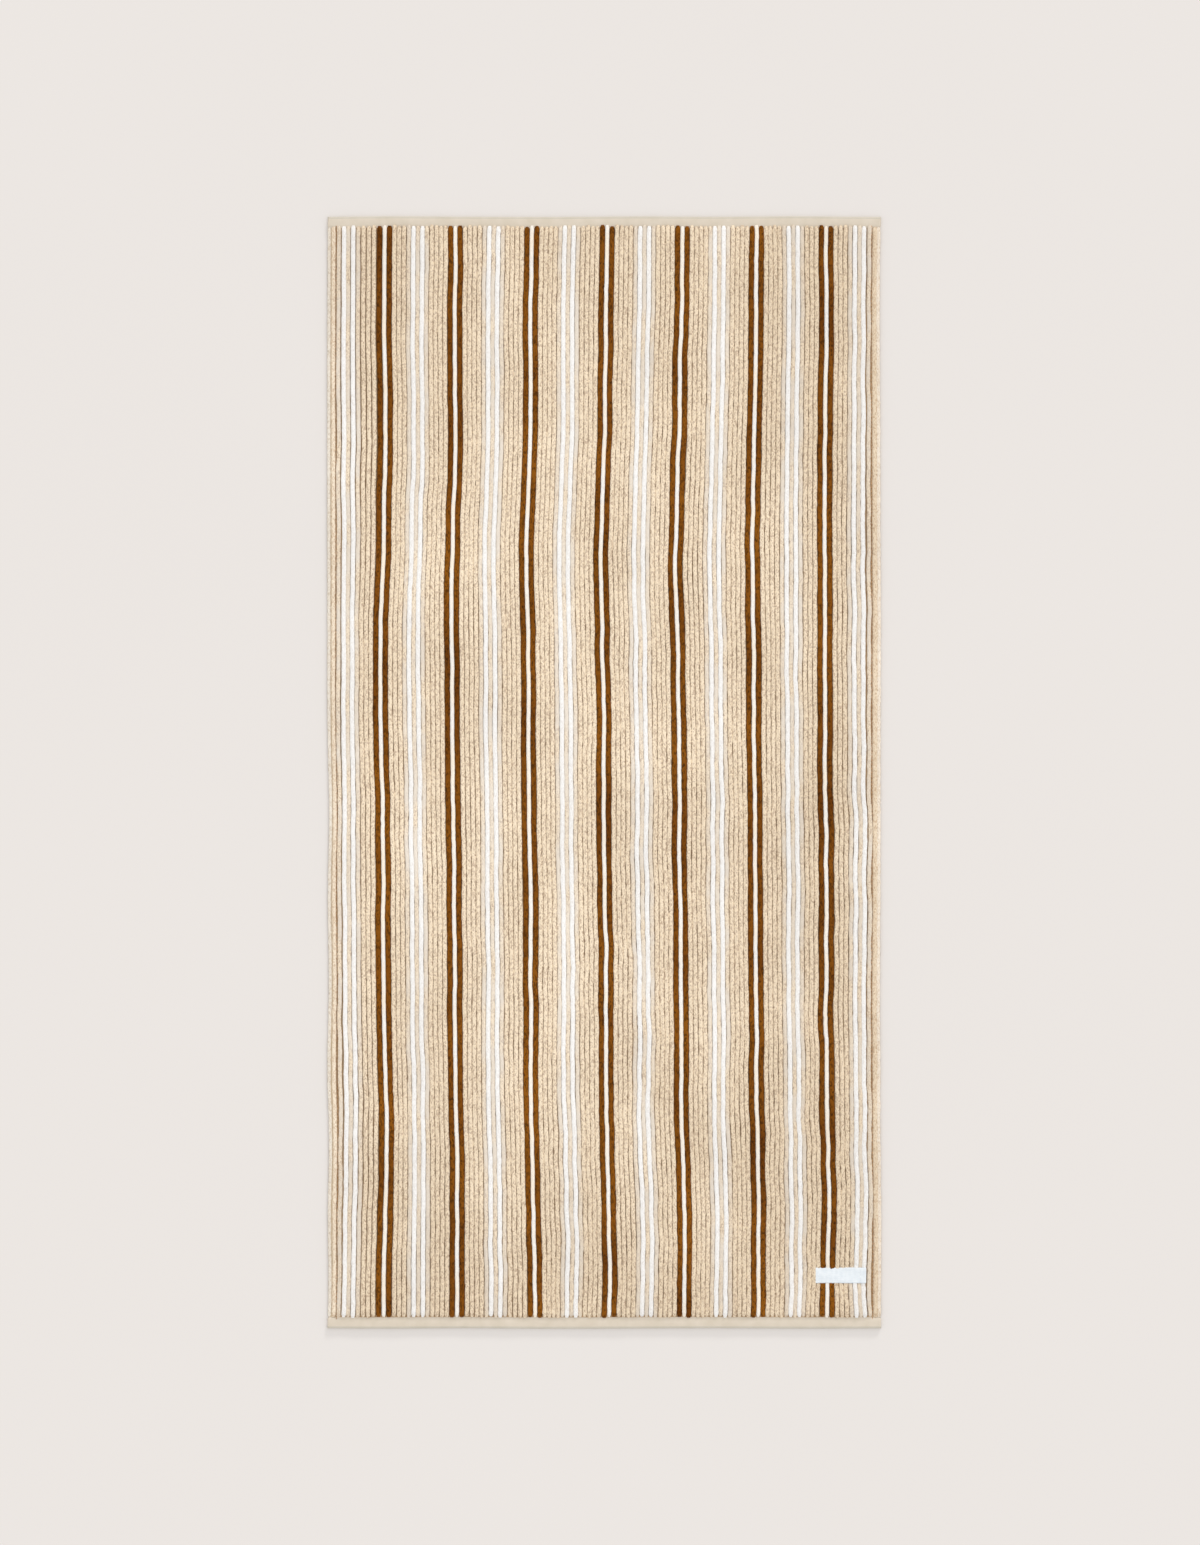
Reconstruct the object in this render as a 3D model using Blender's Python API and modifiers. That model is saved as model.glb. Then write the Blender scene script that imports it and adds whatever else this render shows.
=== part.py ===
"""Ribbed terry hand towel with lengthwise stripes, lying flat and face up on the surface.

Metres, +Z up. +X runs across the towel and +Y along it. The origin is under its centre,
on the surface that it lies on. The cloth is one solid with its woven side bands and its
two turned end hems; the small woven label sewn near one corner is the other.
"""
from math import pi, sin

import bmesh
import bpy
import numpy as np

# ---- Driving dimensions -------------------------------------------------------------------
MM = 0.001
TOWEL_WIDTH = 500 * MM
TOWEL_LENGTH = 1000 * MM
PILE_TOP = 4.6 * MM            # from the surface to the tops of the ribs
SIDE_BAND_TOP = 3.2 * MM       # turned side hems
STITCH_GROOVE_TOP = 2.4 * MM   # seam line between a side hem and the ribs
END_HEM_TOP = 2.9 * MM         # flat-woven hems, turned twice
EDGE_TOP = 1.4 * MM            # the folded edge itself
SIDE_BAND_WIDTH = 8.3 * MM
STITCH_GROOVE_WIDTH = 1.2 * MM
END_HEM_WIDTH = 9.4 * MM
EDGE_ROUND = 0.9 * MM          # how far in a folded edge rises to its hem's height
PILE_RISE = 1.6 * MM           # how far in the pile rises from a hem to full height
PILE_DIP = 0.5 * MM            # the deepest that the pile is pressed below PILE_TOP
DIP_LENGTH = 310 * MM          # spacing of the shallow hollows along the towel
DIP_WIDTH = 190 * MM           # and across it
DIP_SHIFT = (0.4, 0.7)         # where the hollows begin, across and along, in radians
SIDE_WANDER_POWER = 3          # how soon the wander of a long edge dies out inwards
END_WANDER_POWER = 7           # and that of a short edge

LABEL_WIDTH = 45.8 * MM
LABEL_HEIGHT = 14 * MM
LABEL_CENTRE = (212.6 * MM, -451.6 * MM)
LABEL_TOP = 0.8 * MM           # thickness over its turned-in ends
LABEL_MIDDLE = 0.55 * MM       # thickness of the single layer between them
LABEL_TURN_IN = 4.5 * MM       # how much of each end is turned under
LABEL_LAYER_IN = 5.85 * MM     # where the single layer begins, in from each end
SEWN_GAP = 0.3 * MM            # between the label's back and the pile

FIELD_COLUMNS = 20             # divisions of the ribbed field across the towel
FIELD_ROWS = 40                # divisions along it
LABEL_COLUMNS = 8              # divisions of the label's single layer

# How far each long edge stands in from the full width, in millimetres, up the towel.
SIDE_INSETS = (
    # up the towel, left edge, right edge
    (-500, 1.4, 0.9),
    (-455, 2.3, 0.8),
    (-410, 1.6, 0.6),
    (-320, 2.6, 1.5),
    (-275, 1.2, 1.6),
    (-190, 2.6, 1.8),
    (-110, 1.7, 1.4),
    (-40, 3.0, 1.3),
    (40, 1.5, 1.2),
    (130, 1.4, 0.8),
    (220, 1.2, 1.2),
    (310, 1.2, 1.4),
    (400, 1.3, 2.0),
    (450, 1.5, 1.9),
    (500, 1.7, 1.0),
)

# How far each short edge stands in from the full length, in millimetres, across the towel.
END_INSETS = (
    # across the towel, lower edge, upper edge
    (-250, 0.5, 0.6),
    (-200, 0.2, 0.1),
    (-130, 0.6, 0.4),
    (-60, 0.1, 0.7),
    (20, 0.3, 0.2),
    (100, 0.6, 0.5),
    (170, 0.2, 0.1),
    (250, 0.4, 0.7),
)


def read_table(table, at, column):
    """Read one column of a table, in metres, between its rows."""
    stations = [row[0] * MM for row in table]
    values = [row[column] * MM for row in table]
    return float(np.interp(at, stations, values))


def ramp(distance, steps):
    """Read a height from (distance in, height) steps, straight between them."""
    return float(np.interp(distance, [step[0] for step in steps], [step[1] for step in steps]))


def pile_height(across, along):
    """Height of the pressed pile: shallow hollows that never rise above PILE_TOP."""
    lengthwise = sin(2 * pi * along / DIP_LENGTH + DIP_SHIFT[1])
    crosswise = sin(2 * pi * across / DIP_WIDTH + DIP_SHIFT[0])
    return PILE_TOP - PILE_DIP * (0.5 + 0.5 * lengthwise * crosswise)


def side_height(distance, pile):
    """Height of the cloth at a distance in from a long edge."""
    groove_in = SIDE_BAND_WIDTH + 0.5 * STITCH_GROOVE_WIDTH
    field_in = SIDE_BAND_WIDTH + STITCH_GROOVE_WIDTH
    steps = (
        (0.0, EDGE_TOP),
        (EDGE_ROUND, SIDE_BAND_TOP),
        (SIDE_BAND_WIDTH, SIDE_BAND_TOP),
        (groove_in, STITCH_GROOVE_TOP),
        (field_in + 0.5 * PILE_RISE, pile),
    )
    return ramp(distance, steps)


def end_height(distance, pile):
    """Height of the cloth at a distance in from a short edge."""
    steps = (
        (0.0, EDGE_TOP),
        (EDGE_ROUND, END_HEM_TOP),
        (END_HEM_WIDTH, END_HEM_TOP),
        (END_HEM_WIDTH + PILE_RISE, pile),
    )
    return ramp(distance, steps)


def stations(length, border, divisions):
    """Positions along one side of the towel: the border steps at both ends, even between."""
    half = 0.5 * length
    inner = np.linspace(-half + border[-1], half - border[-1], divisions + 1)
    near = [-half + step for step in border[:-1]]
    far = [half - step for step in reversed(border[:-1])]
    return near + list(inner) + far


def towel_point(across, along):
    """Move a point of the plain rectangle so that the edges wander as the real ones do."""
    share_x = across / (0.5 * TOWEL_WIDTH)
    share_y = along / (0.5 * TOWEL_LENGTH)
    side = read_table(SIDE_INSETS, along, 1 if across < 0 else 2)
    end = read_table(END_INSETS, across, 1 if along < 0 else 2)
    inwards = side * share_x ** SIDE_WANDER_POWER
    return across - inwards, along - end * share_y ** END_WANDER_POWER


def towel_thickness(across, along):
    """Thickness of the cloth at a point of the plain rectangle."""
    pile = pile_height(across, along)
    from_side = 0.5 * TOWEL_WIDTH - abs(across)
    from_end = 0.5 * TOWEL_LENGTH - abs(along)
    return min(side_height(from_side, pile), end_height(from_end, pile))


def label_thickness(across, along):
    """Thickness of the label: two layers over its turned-in ends and one between."""
    from_end = 0.5 * LABEL_WIDTH - abs(across - LABEL_CENTRE[0])
    steps = ((0.0, LABEL_TOP), (LABEL_TURN_IN, LABEL_TOP), (LABEL_LAYER_IN, LABEL_MIDDLE))
    return ramp(from_end, steps)


def lay_sheet(name, columns, rows, place, height, thickness, greatest):
    """Lay a grid of cloth at a height and thicken it upwards, point by point."""
    last_column = len(columns) - 1
    last_row = len(rows) - 1
    sheet = bmesh.new()
    bmesh.ops.create_grid(sheet, x_segments=last_column, y_segments=last_row, size=1.0)
    depths = []
    for vert in sheet.verts:
        across = columns[round((vert.co.x + 1.0) * 0.5 * last_column)]
        along = rows[round((vert.co.y + 1.0) * 0.5 * last_row)]
        depths.append(thickness(across, along))
        vert.co = (*place(across, along), height(across, along))
    mesh = bpy.data.meshes.new(name)
    sheet.to_mesh(mesh)
    sheet.free()

    cloth = bpy.data.objects.new(name, mesh)
    weights = cloth.vertex_groups.new(name="thickness")
    for index, depth in enumerate(depths):
        weights.add([index], depth / greatest, "REPLACE")
    solid = cloth.modifiers.new("thickness", "SOLIDIFY")
    solid.thickness = greatest
    solid.offset = 1.0
    solid.vertex_group = weights.name
    return cloth


def make_material(name, colour, roughness):
    """Cotton of one colour, as linear red, green and blue."""
    material = bpy.data.materials.new(name)
    material.use_nodes = True
    shader = material.node_tree.nodes["Principled BSDF"]
    shader.inputs["Base Color"].default_value = (*colour, 1.0)
    shader.inputs["Roughness"].default_value = roughness
    shader.inputs["Metallic"].default_value = 0.0
    material.diffuse_color = (*colour, 1.0)
    return material


def build_towel():
    """The terry cloth with its side bands and end hems, flat underneath."""
    side_border = (
        0.0,
        EDGE_ROUND,
        SIDE_BAND_WIDTH,
        SIDE_BAND_WIDTH + 0.5 * STITCH_GROOVE_WIDTH,
        SIDE_BAND_WIDTH + STITCH_GROOVE_WIDTH + 0.5 * PILE_RISE,
    )
    end_border = (0.0, EDGE_ROUND, END_HEM_WIDTH, END_HEM_WIDTH + PILE_RISE)
    towel = lay_sheet(
        "towel",
        stations(TOWEL_WIDTH, side_border, FIELD_COLUMNS),
        stations(TOWEL_LENGTH, end_border, FIELD_ROWS),
        towel_point,
        lambda across, along: 0.0,
        towel_thickness,
        PILE_TOP,
    )
    towel.data.materials.append(make_material("terry_cotton", (0.610, 0.503, 0.386), 0.95))
    return towel


def build_label():
    """The blank woven label, sewn down on the pile by its two turned-in ends."""
    left = LABEL_CENTRE[0] - 0.5 * LABEL_WIDTH
    right = LABEL_CENTRE[0] + 0.5 * LABEL_WIDTH
    single_layer = list(
        np.linspace(left + LABEL_LAYER_IN, right - LABEL_LAYER_IN, LABEL_COLUMNS + 1)
    )
    columns = [left, left + LABEL_TURN_IN, *single_layer, right - LABEL_TURN_IN, right]
    lower = LABEL_CENTRE[1] - 0.5 * LABEL_HEIGHT
    label = lay_sheet(
        "label",
        columns,
        [lower + share * LABEL_HEIGHT for share in (0.0, 0.5, 1.0)],
        lambda across, along: (across, along),
        lambda across, along: pile_height(across, along) + SEWN_GAP,
        label_thickness,
        LABEL_TOP,
    )
    label.data.materials.append(make_material("label_weave", (0.856, 0.863, 0.881), 0.7))
    return label


def main():
    """Clear the scene's objects and build the towel."""
    for old in list(bpy.data.objects):
        bpy.data.objects.remove(old, do_unlink=True)
    collection = bpy.data.collections.new("terry_hand_towel")
    bpy.context.scene.collection.children.link(collection)
    for piece in (build_towel(), build_label()):
        collection.objects.link(piece)


main()
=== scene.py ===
"""Looks of a ribbed terry hand towel that lies flat and face up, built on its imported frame.

One ground cloth carries everything: a turned hem at each end, a turned and stitched hem down each
side, ribs of cotton loops on its face and its back, and a small blank label near one corner.
"""

from __future__ import annotations

import logging
from dataclasses import dataclass, field
from enum import Enum
from math import pi
from typing import Any, Mapping, Sequence

import bpy
import numpy as np
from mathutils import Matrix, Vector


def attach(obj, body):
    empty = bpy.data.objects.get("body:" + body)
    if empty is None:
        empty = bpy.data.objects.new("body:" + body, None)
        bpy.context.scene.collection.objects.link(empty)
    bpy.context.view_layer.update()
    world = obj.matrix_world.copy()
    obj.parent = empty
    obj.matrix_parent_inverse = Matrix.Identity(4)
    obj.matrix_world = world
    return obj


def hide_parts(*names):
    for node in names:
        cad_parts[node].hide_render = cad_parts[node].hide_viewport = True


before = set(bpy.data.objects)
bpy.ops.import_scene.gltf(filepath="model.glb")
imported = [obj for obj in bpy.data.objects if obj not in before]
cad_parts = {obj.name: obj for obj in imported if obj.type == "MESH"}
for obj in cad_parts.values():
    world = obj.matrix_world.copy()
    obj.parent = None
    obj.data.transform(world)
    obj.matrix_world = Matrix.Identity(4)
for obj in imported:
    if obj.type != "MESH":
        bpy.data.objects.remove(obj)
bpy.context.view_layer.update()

LOG = logging.getLogger("terry_towel")
MM = 0.001
BAKE_MAP = "OFBake"
MAP_MARGIN = 0.01
STRIP_MARGINS = (0.04, 0.02)    # beside and beyond each strip of a rib in its map
CAP_SIZE = (0.3, 0.006)         # half the width and height of a rib's end in its map

Colour = tuple[float, float, float, float]
Span = tuple[float, float]

LINE_STEP = 6 * MM             # from one point to the next on a line that ribs or stitches follow
NOISE_MIDDLE = (0.35, 0.65)    # the values between which most of a soft random pattern lies
NOISE_CORE = (0.38, 0.62)      # a narrower choice of them, for sharper patches


class Yarn(Enum):
    """The three dyed yarns that the pile loops are made of."""

    BEIGE = "beige"
    WHITE = "white"
    BROWN = "brown"


class Face(Enum):
    """The parts of the towel that carry pile."""

    FRONT = "front"
    BACK = "back"
    HEM = "hem"


class Region(Enum):
    """The parts of the ground cloth that are finished differently, in slot order."""

    FIELD = 0
    END_HEM = 1
    END_FOLD = 2
    SIDE_HEM = 3


# How far each long edge stands in from the full width, in millimetres, up the towel.
SIDE_INSETS = (
    # up the towel, left edge, right edge
    (-500, 1.4, 0.9),
    (-455, 2.3, 0.8),
    (-410, 1.6, 0.6),
    (-320, 2.6, 1.5),
    (-275, 1.2, 1.6),
    (-190, 2.6, 1.8),
    (-110, 1.7, 1.4),
    (-40, 3.0, 1.3),
    (40, 1.5, 1.2),
    (130, 1.4, 0.8),
    (220, 1.2, 1.2),
    (310, 1.2, 1.4),
    (400, 1.3, 2.0),
    (450, 1.5, 1.9),
    (500, 1.7, 1.0),
)

# How far each short edge stands in from the full length, in millimetres, across the towel.
END_INSETS = (
    # across the towel, lower edge, upper edge
    (-250, 0.5, 0.6),
    (-200, 0.2, 0.1),
    (-130, 0.6, 0.4),
    (-60, 0.1, 0.7),
    (20, 0.3, 0.2),
    (100, 0.6, 0.5),
    (170, 0.2, 0.1),
    (250, 0.4, 0.7),
)

# How far the ribs lean to the right of straight, in millimetres, up the towel.
RIB_LEAN = (
    # up the towel, 230 left of the middle, 200 left, 68 left, 68 right, 200 right, 230 right
    (-500, -0.8, 1.2, 5.7, 3.6, 0.9, 1.2),
    (-400, 1.1, 3.0, 4.9, 4.3, 2.4, 1.6),
    (-300, 1.4, 3.7, 2.3, 1.8, 1.0, 1.2),
    (-200, 0.6, 1.6, 2.2, 1.5, -0.3, 0.5),
    (-100, -0.1, 1.1, 1.6, 0.2, 0.1, 0.9),
    (0, 0.0, 0.1, 0.3, -0.5, -0.6, 0.4),
    (100, -1.0, -1.5, 0.1, -1.6, -1.2, -0.3),
    (200, -0.6, 1.0, -1.8, -3.6, -1.2, -0.5),
    (300, -0.6, 3.3, 1.6, -0.7, -1.0, -0.3),
    (400, -0.8, 2.1, 1.6, 1.5, 0.3, 0.1),
    (500, -0.6, 2.5, 3.4, 2.7, -0.2, 0.3),
)
LEAN_COLUMNS = (-230, -200, -68, 68, 200, 230)


def linear(hex_code: str) -> Colour:
    """Turn an sRGB hex colour into linear light.

    Args:
        hex_code: Six hex digits after a hash sign.

    Returns:
        Red, green, blue and full alpha.
    """
    shares = [int(hex_code[place:place + 2], 16) / 255 for place in (1, 3, 5)]
    light = [s / 12.92 if s <= 0.04045 else ((s + 0.055) / 1.055) ** 2.4 for s in shares]
    return (light[0], light[1], light[2], 1.0)


def add_node(
    tree: bpy.types.NodeTree, kind: str, feeds: Mapping[Any, Any] | None = None, out: Any = 0,
    **settings: Any
) -> bpy.types.NodeSocket | None:
    """Add a node with its settings and links.

    Args:
        tree: The tree that gets the node.
        kind: Blender's name for the type of node.
        feeds: A socket to link from, or a plain value, for each input by name or number.
        out: The name or number of the output wanted.
        settings: The node's own properties.

    Returns:
        The wanted output, or nothing for a node without outputs.
    """
    node = tree.nodes.new(kind)
    for name, value in settings.items():
        setattr(node, name, value)
    for key, value in (feeds or {}).items():
        if isinstance(value, bpy.types.NodeSocket):
            tree.links.new(value, node.inputs[key])
        else:
            node.inputs[key].default_value = value
    return node.outputs[out] if node.outputs else None


def calc(
    tree: bpy.types.NodeTree, operation: str, *values: Any, clamp: bool = False
) -> bpy.types.NodeSocket:
    """Add one step of arithmetic.

    Args:
        tree: The tree that gets the step.
        operation: Blender's name for the step.
        values: Its numbers, each a socket or a plain value.
        clamp: Whether its result is held between 0 and 1.

    Returns:
        The result.
    """
    feeds = dict(enumerate(values))
    return add_node(tree, "ShaderNodeMath", feeds, operation=operation, use_clamp=clamp)


def vector_calc(
    tree: bpy.types.NodeTree, operation: str, *values: Any, out: Any = 0
) -> bpy.types.NodeSocket:
    """Add one step of vector arithmetic.

    Args:
        tree: The tree that gets the step.
        operation: Blender's name for the step.
        values: Its vectors, each a socket or a plain value.
        out: The name or number of the output wanted.

    Returns:
        The result.
    """
    feeds = dict(enumerate(values))
    return add_node(tree, "ShaderNodeVectorMath", feeds, out, operation=operation)


def scaled(
    tree: bpy.types.NodeTree, vector: bpy.types.NodeSocket, size: bpy.types.NodeSocket
) -> bpy.types.NodeSocket:
    """Multiply a vector by a number."""
    return add_node(tree, "ShaderNodeVectorMath", {0: vector, "Scale": size}, operation="SCALE")


def remap(
    tree: bpy.types.NodeTree, value: bpy.types.NodeSocket, source: Sequence[Any],
    target: Sequence[Any] = (0.0, 1.0)
) -> bpy.types.NodeSocket:
    """Stretch a number from one span onto another, and hold it at both ends.

    Args:
        tree: The tree that gets the step.
        value: The number.
        source: The two ends of the span that it comes from.
        target: The two ends of the span that it goes to.

    Returns:
        The stretched number.
    """
    feeds = {0: value, 1: source[0], 2: source[1], 3: target[0], 4: target[1]}
    return add_node(tree, "ShaderNodeMapRange", feeds)


def blend(
    tree: bpy.types.NodeTree, share: bpy.types.NodeSocket, first: Any, second: Any,
    mode: str = "MIX"
) -> bpy.types.NodeSocket:
    """Mix two colours, each a socket or a hex colour.

    Args:
        tree: The tree that gets the step.
        share: How much there is of the second colour, from 0 to 1.
        first: The first colour.
        second: The second colour.
        mode: Blender's name for the way of mixing.

    Returns:
        The mixed colour.
    """
    one, other = (linear(c) if isinstance(c, str) else c for c in (first, second))
    return add_node(
        tree, "ShaderNodeMix", {0: share, 6: one, 7: other}, 2, data_type="RGBA", blend_type=mode
    )


def soft_noise(
    tree: bpy.types.NodeTree, where: bpy.types.NodeSocket, size: float, detail: float = 2.0,
    roughness: float = 0.5
) -> bpy.types.NodeSocket:
    """Add a soft random pattern.

    Args:
        tree: The tree that gets the pattern.
        where: The coordinates that it is laid on.
        size: The size of its patches, in metres.
        detail: How many finer layers it has.
        roughness: How strong the finer layers are.

    Returns:
        The pattern, from 0 to 1.
    """
    feeds = {"Vector": where, "Scale": 1 / size, "Detail": detail, "Roughness": roughness}
    return add_node(tree, "ShaderNodeTexNoise", feeds)


def new_material(name: str, **plain: float) -> tuple[bpy.types.Material, bpy.types.NodeSocket]:
    """Start a material on one shader.

    Args:
        name: The material's name.
        plain: The shader's plain values, with underscores for the spaces in their names.

    Returns:
        The material and the object's own coordinates.
    """
    made = bpy.data.materials.new(name)
    made.use_nodes = True
    shader = made.node_tree.nodes["Principled BSDF"]
    for socket, value in plain.items():
        shader.inputs[socket.replace("_", " ")].default_value = value
    return made, add_node(made.node_tree, "ShaderNodeTexCoord", out="Object")


def finish_material(
    made: bpy.types.Material, colour: bpy.types.NodeSocket, height: bpy.types.NodeSocket,
    relief: float, strength: float
) -> bpy.types.Material:
    """Feed a material's shader with its colour and its fine relief.

    Args:
        made: The material.
        colour: Its colour.
        height: How high each point stands, where 1 is the whole relief.
        relief: How deep the relief is, in metres.
        strength: How strongly the relief shows.

    Returns:
        The same material.
    """
    tree = made.node_tree
    shader = tree.nodes["Principled BSDF"]
    bump = add_node(
        tree, "ShaderNodeBump", {"Height": height, "Distance": relief, "Strength": strength}
    )
    tree.links.new(colour, shader.inputs["Base Color"])
    tree.links.new(bump, shader.inputs["Normal"])
    return made


def new_tree(
    name: str, inputs: Sequence[tuple[str, str]]
) -> tuple[bpy.types.NodeTree, Mapping[str, bpy.types.NodeSocket]]:
    """Start a geometry node tree.

    Args:
        name: The tree's name.
        inputs: The name and socket type of each input.

    Returns:
        The tree and its inputs as sockets to link from, by name.
    """
    tree = bpy.data.node_groups.new(name, "GeometryNodeTree")
    for title, kind in inputs:
        tree.interface.new_socket(name=title, in_out="INPUT", socket_type=kind)
    tree.interface.new_socket(name="Made", in_out="OUTPUT", socket_type="NodeSocketGeometry")
    return tree, add_node(tree, "NodeGroupInput").node.outputs


def finish_tree(
    tree: bpy.types.NodeTree, made: bpy.types.NodeSocket, finish: bpy.types.NodeSocket
) -> None:
    """End a geometry node tree: smooth shading, real geometry and one material.

    Args:
        tree: The tree.
        made: The geometry that it makes.
        finish: Its material.
    """
    smooth = add_node(tree, "GeometryNodeSetShadeSmooth", {"Geometry": made})
    real = add_node(tree, "GeometryNodeRealizeInstances", {"Geometry": smooth})
    dressed = add_node(tree, "GeometryNodeSetMaterial", {"Geometry": real, "Material": finish})
    add_node(tree, "NodeGroupOutput", {"Made": dressed})


def mark(
    tree: bpy.types.NodeTree, shape: bpy.types.NodeSocket, name: str, value: bpy.types.NodeSocket
) -> bpy.types.NodeSocket:
    """Store a number under a name at each point of a shape.

    Args:
        tree: The tree that gets the step.
        shape: The shape.
        name: The name.
        value: The number.

    Returns:
        The marked shape.
    """
    feeds = {"Geometry": shape, "Name": name, "Value": value}
    return add_node(tree, "GeometryNodeStoreNamedAttribute", feeds, data_type="FLOAT")


def read_mark(tree: bpy.types.NodeTree, name: str) -> bpy.types.NodeSocket:
    """Read the number that is stored under a name."""
    return add_node(tree, "GeometryNodeInputNamedAttribute", {"Name": name}, data_type="FLOAT")


def smooth_through(stations: np.ndarray, values: np.ndarray, at: np.ndarray) -> np.ndarray:
    """Read a smooth curve that passes through a value at each station.

    Args:
        stations: Rising places of the known values.
        values: The known values.
        at: Places to read.

    Returns:
        The curve's value at each place, level past both ends.
    """
    slopes = np.gradient(values, stations)
    at = np.clip(at, stations[0], stations[-1])
    left = np.clip(np.searchsorted(stations, at, side="right") - 1, 0, len(stations) - 2)
    span = stations[left + 1] - stations[left]
    t = (at - stations[left]) / span
    rise = values[left + 1] - values[left]
    start, end = slopes[left] * span, slopes[left + 1] * span
    return values[left] + t * (start + t * (3 * rise - 2 * start - end + t * (start + end - 2 * rise)))


def table_column(table: Sequence[Sequence[float]], column: int, at: np.ndarray) -> np.ndarray:
    """Read one column of a table of millimetres smoothly, in metres."""
    rows = np.array(table, float) * MM
    return smooth_through(rows[:, 0], rows[:, column], at)


def smooth_step(value: np.ndarray, low: float, high: float) -> np.ndarray:
    """Rise smoothly from 0 at low to 1 at high."""
    t = np.clip((value - low) / (high - low), 0.0, 1.0)
    return t * t * (3.0 - 2.0 * t)


@dataclass(frozen=True)
class ClothPlan:
    """The outline, lean and heights that all the pieces of the towel share, in metres."""

    width: float = 500 * MM
    length: float = 1000 * MM
    pile_top: float = 4.6 * MM
    ground_top: float = 2.4 * MM
    ground_underside: float = 1.9 * MM
    side_hem: float = 8.3 * MM
    seam: float = 1.2 * MM
    end_hem: float = 9.4 * MM
    dip: float = 0.5 * MM
    dip_length: float = 310 * MM
    dip_width: float = 190 * MM
    dip_shift: tuple[float, float] = (0.4, 0.7)
    end_wander_power: int = 7    # how soon the wander of an end dies away inwards
    label_centre: tuple[float, float] = (212.6 * MM, -451.6 * MM)
    label_size: tuple[float, float] = (45.8 * MM, 14 * MM)
    label_tug: float = 1.0 * MM
    label_tug_slope: float = 2.0
    label_tug_fade: float = 0.7
    label_margin: float = 4 * MM

    def lean(self, across: np.ndarray, along: np.ndarray) -> np.ndarray:
        """Work out how far the cloth leans sideways at points of the plain rectangle.

        Args:
            across: Distances right of the middle.
            along: Distances up from the middle.

        Returns:
            Distances to the right.
        """
        half = 0.5 * self.width
        columns = np.array([-half, *(x * MM for x in LEAN_COLUMNS), half])
        shifts = [table_column(SIDE_INSETS, 1, along)]
        shifts += [table_column(RIB_LEAN, 1 + i, along) for i in range(len(LEAN_COLUMNS))]
        shifts.append(-table_column(SIDE_INSETS, 2, along))
        left = np.clip(np.searchsorted(columns, across, side="right") - 1, 0, len(columns) - 2)
        share = (across - columns[left]) / (columns[left + 1] - columns[left])
        stack = np.array([np.broadcast_to(shift, across.shape) for shift in shifts])
        before = np.take_along_axis(stack, left[None], 0)[0]
        after = np.take_along_axis(stack, left[None] + 1, 0)[0]
        return before + share * (after - before) + self.label_pull(across, along)

    def label_pull(self, across: np.ndarray, along: np.ndarray) -> np.ndarray:
        """Work out the sideways step in the cloth where the label was sewn on.

        Args:
            across: Distances right of the middle.
            along: Distances up from the middle.

        Returns:
            How far each point moves right: above the label more than zero, below it less.
        """
        beside = (across - self.label_centre[0]) / (0.5 * self.label_size[0])
        above = (along - self.label_centre[1]) / self.label_size[1]
        fade = np.exp(-beside ** 2 - self.label_tug_fade * above ** 2)
        return self.label_tug * np.tanh(self.label_tug_slope * above) * fade

    def place(self, across: np.ndarray, along: np.ndarray) -> tuple[np.ndarray, np.ndarray]:
        """Move points of the plain rectangle to where they lie on the real cloth.

        Args:
            across: Distances right of the middle.
            along: Distances up from the middle.

        Returns:
            The points' x and y.
        """
        across, along = np.broadcast_arrays(np.asarray(across, float), np.asarray(along, float))
        lower = table_column(END_INSETS, 1, across)
        upper = table_column(END_INSETS, 2, across)
        share = along / (0.5 * self.length)
        inset = np.where(along < 0, lower, upper)
        return across + self.lean(across, along), along - inset * share ** self.end_wander_power

    def pile_height(self, across: np.ndarray, along: np.ndarray) -> np.ndarray:
        """Work out the height of the tops of the ribs, with shallow hollows in the pile.

        Args:
            across: Distances right of the middle.
            along: Distances up from the middle.

        Returns:
            A height for each point.
        """
        wave = np.sin(2 * pi * along / self.dip_length + self.dip_shift[1])
        wave = wave * np.sin(2 * pi * across / self.dip_width + self.dip_shift[0])
        return self.pile_top - self.dip * (0.5 + 0.5 * wave)

    def under_label(self, across: np.ndarray, along: np.ndarray) -> np.ndarray:
        """Work out how fully the label presses the pile.

        Args:
            across: Distances right of the middle.
            along: Distances up from the middle.

        Returns:
            A share for each point: 1 under the label, 0 clear of it.
        """
        beside = np.abs(across - self.label_centre[0]) - 0.5 * self.label_size[0]
        above = np.abs(along - self.label_centre[1]) - 0.5 * self.label_size[1]
        beside, above = (smooth_step(gap, 0.0, self.label_margin) for gap in (beside, above))
        return (1.0 - beside) * (1.0 - above)


# For each yarn, the yarn whose loops spill over it where the two lie side by side.
SPILLS_OVER = {Yarn.BEIGE: Yarn.WHITE, Yarn.WHITE: Yarn.BROWN}


@dataclass(frozen=True)
class Rib:
    """One rib of the pile: its yarn, its middle and the room it has, in metres.

    Its girth is its size beside other ribs of its yarn. Its spill is 1 where loops of the next
    yarn spill over it, and 0 where none do.
    """

    yarn: Yarn
    across: float
    width: float
    girth: float = 1.0
    spill: float = 0.0


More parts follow.
